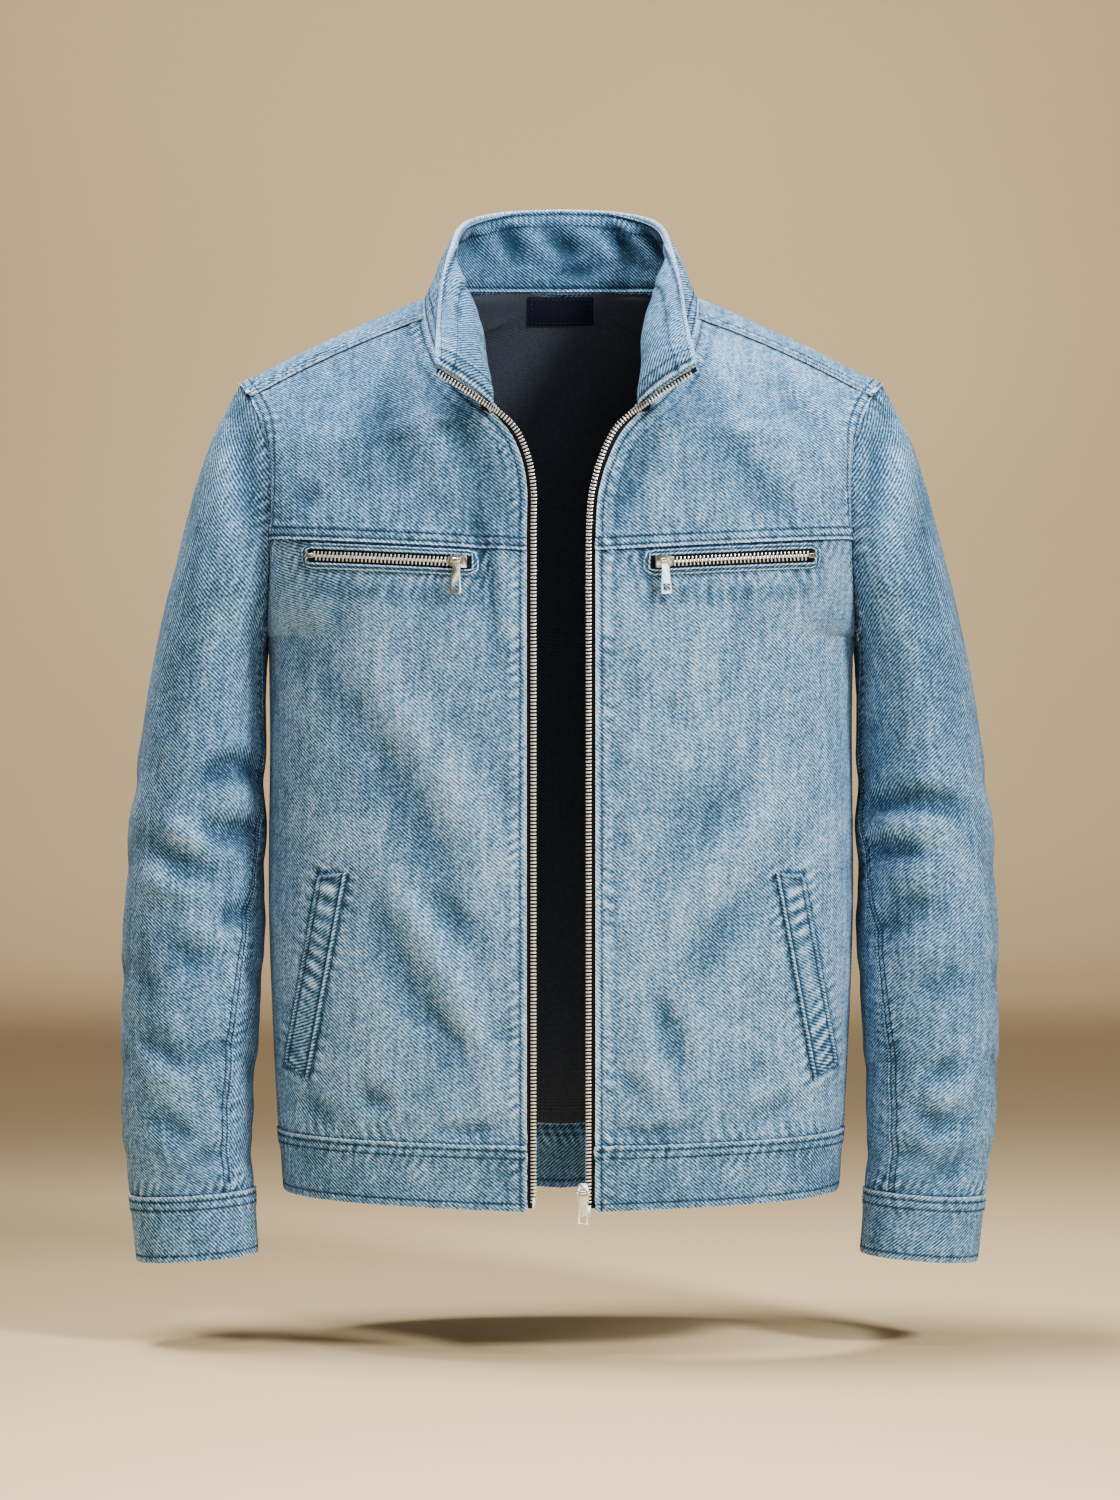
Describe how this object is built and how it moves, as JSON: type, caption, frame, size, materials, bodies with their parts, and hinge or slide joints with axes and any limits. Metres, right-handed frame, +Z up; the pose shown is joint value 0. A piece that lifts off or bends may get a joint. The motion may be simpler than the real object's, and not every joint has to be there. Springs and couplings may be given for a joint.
{
  "type": "denim zip jacket",
  "caption": "Light denim jacket with a stand collar, an open zip front, zipped chest pockets, slanted hand pockets and a banded hem and cuffs, held out in its worn shape.",
  "frame": {"origin": "midway between the two high points of the shoulders, where the wearer carries the jacket", "axes": "+Z up, the front faces -Y, the wearer's left is at +X"},
  "size_m": [0.6326, 0.2617, 0.7675],
  "materials": {
    "denim": "light washed blue denim",
    "denim_inside": "washed denim facing",
    "lining": "plain dark lining",
    "label": "blank dark woven label",
    "zip_tape": "dark woven zip tape",
    "nickel": "polished nickel"
  },
  "bodies": {
    "jacket": {"zip_tape_left": "zip_tape", "zip_chain_left": "nickel", "zip_tape_right": "zip_tape", "zip_chain_right": "nickel", "chest_left_slider": "nickel", "chest_stop_left": "nickel", "chest_right_slider": "nickel", "chest_stop_right": "nickel", "main_slider": "nickel", "zip_box": "nickel", "zip_pin": "nickel", "front_panel_left": "denim", "front_yoke_left": "denim", "waistband_front_left": "denim", "front_panel_right": "denim", "front_yoke_right": "denim", "waistband_front_right": "denim", "back_panel": "denim", "waistband_back": "denim", "back_lining": "lining", "sleeve_upper_left": "denim", "sleeve_under_left": "denim", "cuff_left": "denim", "sleeve_upper_right": "denim", "sleeve_under_right": "denim", "cuff_right": "denim", "collar": "denim", "collar_facing": "denim_inside", "chest_welt_left": "denim", "chest_zip_tape_left": "zip_tape", "chest_welt_right": "denim", "chest_zip_tape_right": "zip_tape", "hand_pocket_welt_left": "denim", "hand_pocket_welt_right": "denim", "neck_label": "label"},
    "chest_left_pull": {"chest_left_pull": "nickel"},
    "chest_right_pull": {"chest_right_pull": "nickel"},
    "main_pull": {"main_pull": "nickel"}
  },
  "joints": [
    {"name": "chest_left_pull_swing", "type": "hinge", "parent": "jacket", "child": "chest_left_pull", "pos_m": [0.07219, -0.12672, -0.19485], "axis": [0.9946, 0.0883, 0.0548], "range_deg": [-160, 0]},
    {"name": "chest_right_pull_swing", "type": "hinge", "parent": "jacket", "child": "chest_right_pull", "pos_m": [-0.0722, -0.12673, -0.19485], "axis": [0.9945, -0.089, -0.0548], "range_deg": [-160, 0]},
    {"name": "main_pull_swing", "type": "hinge", "parent": "jacket", "child": "main_pull", "pos_m": [0.0152, -0.1156, -0.634], "axis": [1, 0, 0], "range_deg": [-160, 0]}
  ]
}
